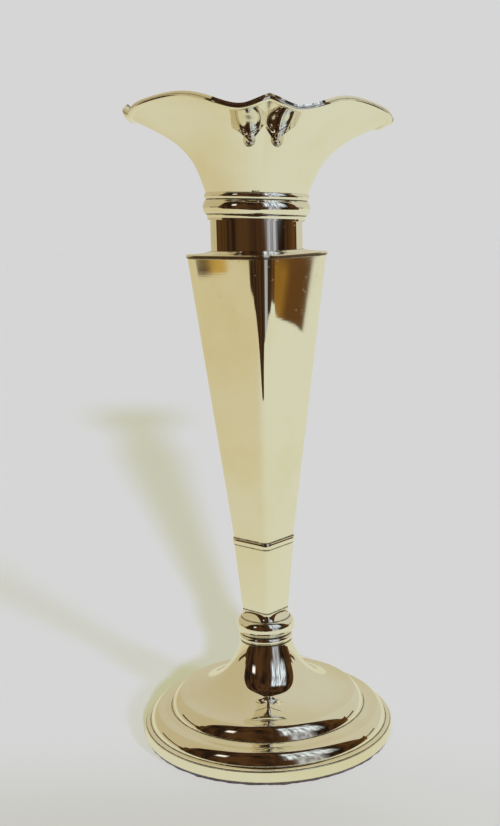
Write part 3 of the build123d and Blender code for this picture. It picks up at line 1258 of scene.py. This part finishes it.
@dataclass
class Studio:
    """Camera, floor, lights and the room that the silver mirrors."""

    eye: Color = (0.2366, -0.2748, 0.1686)
    heading: float = 41.26
    pitch: float = 9.97
    roll: float = -1.47
    focal_pixels: float = 1176.7
    image_height: float = 826.0
    film_height: float = 36.0
    near_clip: float = 0.01
    white: Color = (0.672, 0.672, 0.672)
    fill: Color = (0.3, 0.29, 0.26)
    floor_half: float = 4.0
    cloth_share: float = 0.4
    cloth: float = 0.8
    front_shade: Color = (0.78, 0.77, 0.4)
    front_start: Point = (0.0, 0.075)
    front_side: Point = (-0.02, 0.09)
    front_fade: float = 0.7
    floor_left: Color = (0.62, 0.55, 0.33)
    floor_right: Color = (0.68, 0.675, 0.5)
    floor_turn: Point = (-0.45, 0.15)
    sky_left: Color = (0.52, 0.44, 0.25)
    sky_right: Color = (0.6, 0.57, 0.43)
    sky_turn: Point = (-0.8, 0.6)
    wall_step: float = 3.0
    wall_detail: float = 2.0
    wall_dark: Color = (0.014, 0.008, 0.005)
    wall_brown: Color = (0.075, 0.034, 0.012)
    brown_scale: float = 9.0
    brown_stretch: float = 0.35
    brown_edges: Point = (0.35, 0.7)
    wall_side: Color = (0.11, 0.048, 0.012)
    side_start: Point = (70.0, 95.0)
    side_least: float = 0.5
    stripe_scale: float = 34.0
    stripe_stretch: float = 0.12
    stripe_edges: Point = (0.38, 0.62)

    def build(self) -> None:
        """Set up everything that isn't part of the vase."""
        self.place_camera()
        self.light()
        self.lay_floor()
        self.stand_room()
        self.fill_world()
        bpy.context.scene.view_settings.view_transform = "Standard"

    def place_camera(self) -> None:
        """Stand the camera where the photograph was taken."""
        data = bpy.data.cameras.new("camera")
        data.sensor_fit = "VERTICAL"
        data.sensor_height = self.film_height
        data.sensor_width = self.film_height
        data.lens = self.focal_pixels * self.film_height / self.image_height
        data.clip_start = self.near_clip
        camera = bpy.data.objects.new("camera", data)
        turn = Matrix.Rotation(math.radians(self.heading), 4, "Z")
        dip = Matrix.Rotation(math.radians(90.0 - self.pitch), 4, "X")
        roll = Matrix.Rotation(math.radians(self.roll), 4, "Z")
        camera.matrix_world = Matrix.Translation(self.eye) @ turn @ dip @ roll
        bpy.context.scene.collection.objects.link(camera)
        bpy.context.scene.camera = camera

    def toward(self, azimuth: float, elevation: float, distance: float) -> Vector:
        """Place at an azimuth right of the camera's side, an elevation and a distance."""
        a = math.radians(azimuth) + math.atan2(self.eye[1], self.eye[0])
        e = math.radians(elevation)
        return Vector((math.cos(e) * math.cos(a), math.cos(e) * math.sin(a), math.sin(e))) * distance

    def light(self) -> None:
        """Aim the distant lights from the camera's side."""
        for name, sun in SUNS.items():
            data = bpy.data.lights.new(name, "SUN")
            data.angle = math.radians(sun.width)
            data.energy = max(sun.strength)
            data.color = [part / data.energy for part in sun.strength]
            lamp = bpy.data.objects.new(name, data)
            shining = -self.toward(sun.azimuth, sun.elevation, 1.0)
            lamp.rotation_euler = shining.to_track_quat("-Z", "Y").to_euler()
            lamp.visible_glossy = False
            bpy.context.scene.collection.objects.link(lamp)

    def stage(self, shape: Shape, name: str, material: bpy.types.Material, seen: Seen) -> None:
        """Finish a shape in metres as part of the stage.

        Args:
            shape: the shape.
            name: the object's name.
            material: its finish.
            seen: what it shows itself to.
        """
        made = shape.shown(name, material)
        if seen is Seen.REFLECTIONS:
            made.visible_camera = False
            made.visible_diffuse = False
            made.visible_transmission = False
            made.visible_shadow = False

    def lay_floor(self) -> None:
        """Lay a wide pale floor that keeps the vase's shadow."""
        shape = Shape()
        bmesh.ops.create_grid(shape.bm, x_segments=1, y_segments=1, size=self.floor_half)
        material = bpy.data.materials.new("pale_floor")
        shader = Shader(material)
        pale = (self.cloth, self.cloth, self.cloth, 1.0)
        cloth = shader.node("ShaderNodeBsdfDiffuse", None, {"Color": pale})
        lit = sum((sun.on_floor() for sun in SUNS.values()), Vector(self.fill)) * self.cloth
        glow = (Vector(self.white) - lit * self.cloth_share) / (1 - self.cloth_share)
        near, aside = self.floor_places(shader)
        front = near.ramp(*self.front_start) * (1.0 - aside.ramp(*self.front_side) * self.front_fade)
        shaded = tuple(part * shade for part, shade in zip(glow, self.front_shade))
        shining = shader.glow(shader.blend(front, tuple(glow), shaded))
        seen = shader.either(1 - self.cloth_share, cloth, shining)
        warm = shader.blend(aside.ramp(*self.floor_turn), self.floor_left, self.floor_right)
        shader.surface(shader.either(shader.ray("Is Glossy Ray"), seen, shader.glow(warm)))
        self.stage(shape, "floor", material, Seen.EVERYTHING)

    def floor_places(self, shader: Shader) -> tuple[Value, Value]:
        """Distances towards the camera and to its right, from the middle of the floor."""
        place = shader.node("ShaderNodeTexCoord", output="Object")
        east, north = (shader.node("ShaderNodeSeparateXYZ", None, {0: place}, axis) for axis in "XY")
        ahead = Vector(self.eye[:2]).normalized()
        return east * ahead.x + north * ahead.y, north * ahead.x - east * ahead.y

    def stand_room(self) -> None:
        """Stand the dark room with its windows round the camera's side, seen only in reflections."""
        azimuths = [wall.azimuth for wall in ROOM]
        steps = numpy.union1d(azimuths, numpy.arange(azimuths[0], azimuths[-1], self.wall_step))
        distances = numpy.interp(steps, azimuths, [wall.distance for wall in ROOM])
        feet = numpy.interp(steps, azimuths, [wall.foot for wall in ROOM])
        tops = numpy.interp(steps, azimuths, [wall.top for wall in ROOM])
        places = [self.toward(azimuth, 0.0, distance) for azimuth, distance in zip(steps, distances)]
        shape = Shape()
        verts = [shape.bm.verts.new((*places[0].xy, level)) for level in (feet[0], tops[0])]
        edge = shape.bm.edges.new(verts)
        for place, foot, top in list(zip(places, feet, tops))[1:]:
            made = bmesh.ops.extrude_edge_only(shape.bm, edges=[edge])["geom"]
            edge = next(part for part in made if isinstance(part, bmesh.types.BMEdge))
            for vert, level in zip(sorted(edge.verts, key=lambda v: v.co.z), (foot, top)):
                vert.co = (*place.xy, level)
        self.stage(shape, "room_wall", self.room_finish(), Seen.REFLECTIONS)

    def room_finish(self) -> bpy.types.Material:
        """Dark brown of the room, warmer at its sides, with soft windows."""
        material = bpy.data.materials.new("dark_room")
        shader = Shader(material)
        place = shader.node("ShaderNodeTexCoord", output="Object")
        east, north, rise = (shader.node("ShaderNodeSeparateXYZ", None, {0: place}, axis) for axis in "XYZ")
        ahead = math.atan2(self.eye[1], self.eye[0])
        azimuth = (shader.math("ARCTAN2", north, east) - ahead) * math.degrees(1.0)
        upright = shader.place((1.0, 1.0, self.brown_stretch))
        browns = shader.cloud(upright, self.brown_scale, self.wall_detail).ramp(*self.brown_edges)
        color = shader.blend(browns, self.wall_dark, self.wall_brown)
        uneven = browns * (1.0 - self.side_least) + self.side_least
        sides = shader.math("ABSOLUTE", azimuth).ramp(*self.side_start) * uneven
        color = shader.blend(sides, color, self.wall_side)
        drawn = shader.place((1.0, 1.0, self.stripe_stretch))
        stripes = shader.cloud(drawn, self.stripe_scale, self.wall_detail).ramp(*self.stripe_edges)
        for patch in PATCHES.values():
            across = azimuth.within(patch.left, patch.right, patch.soft)
            level = rise.within(patch.low, patch.high, patch.soft_rise)
            shown = across * level * (stripes * patch.mottled + (1.0 - patch.mottled))
            color = shader.blend(shown, color, patch.color)
        shader.surface(shader.glow(color))
        return material

    def fill_world(self) -> None:
        """Fill the world with pale light, white to the camera and cream in the silver."""
        world = bpy.data.worlds.new("pale_world")
        bpy.context.scene.world = world
        shader = Shader(world)
        fill = shader.node("ShaderNodeBackground", None, {"Color": (*self.fill, 1.0)})
        ahead = Vector(self.eye[:2]).normalized()
        seen = shader.node("ShaderNodeTexCoord", output="Generated")
        inputs = {0: seen, 1: (-ahead.y, ahead.x, 0.0)}
        aside = shader.node("ShaderNodeVectorMath", {"operation": "DOT_PRODUCT"}, inputs, "Value")
        sky = shader.blend(aside.ramp(*self.sky_turn), self.sky_left, self.sky_right)
        mirrored = shader.node("ShaderNodeBackground", None, {"Color": sky})
        white = shader.node("ShaderNodeBackground", None, {"Color": (*self.white, 1.0)})
        lit = shader.either(shader.ray("Is Glossy Ray"), fill, mirrored)
        shader.surface(shader.either(shader.ray("Is Camera Ray"), lit, white), "ShaderNodeOutputWorld")


def main() -> None:
    """Build the vase, dress it and set up the studio."""
    logging.basicConfig(level=logging.INFO, format="%(name)s: %(message)s")
    silver = Silver().build("polished_silver")
    felt = FELT.build("pressed_felt")
    lean = Lean()
    Foot(silver, felt).build()
    Stem(silver).build()
    Body(silver).build()
    Neck(silver, lean).build()
    Mouth(silver, lean).build()
    inner = {
        Slot.IRON: IRON.build("plain_iron"),
        Slot.LOADING: LOADING.build("foot_filling"),
        Slot.BRASS: BRASS.build("turned_brass"),
    }
    Inside(inner).dress()
    Studio().build()


if __name__ == "__main__":
    main()
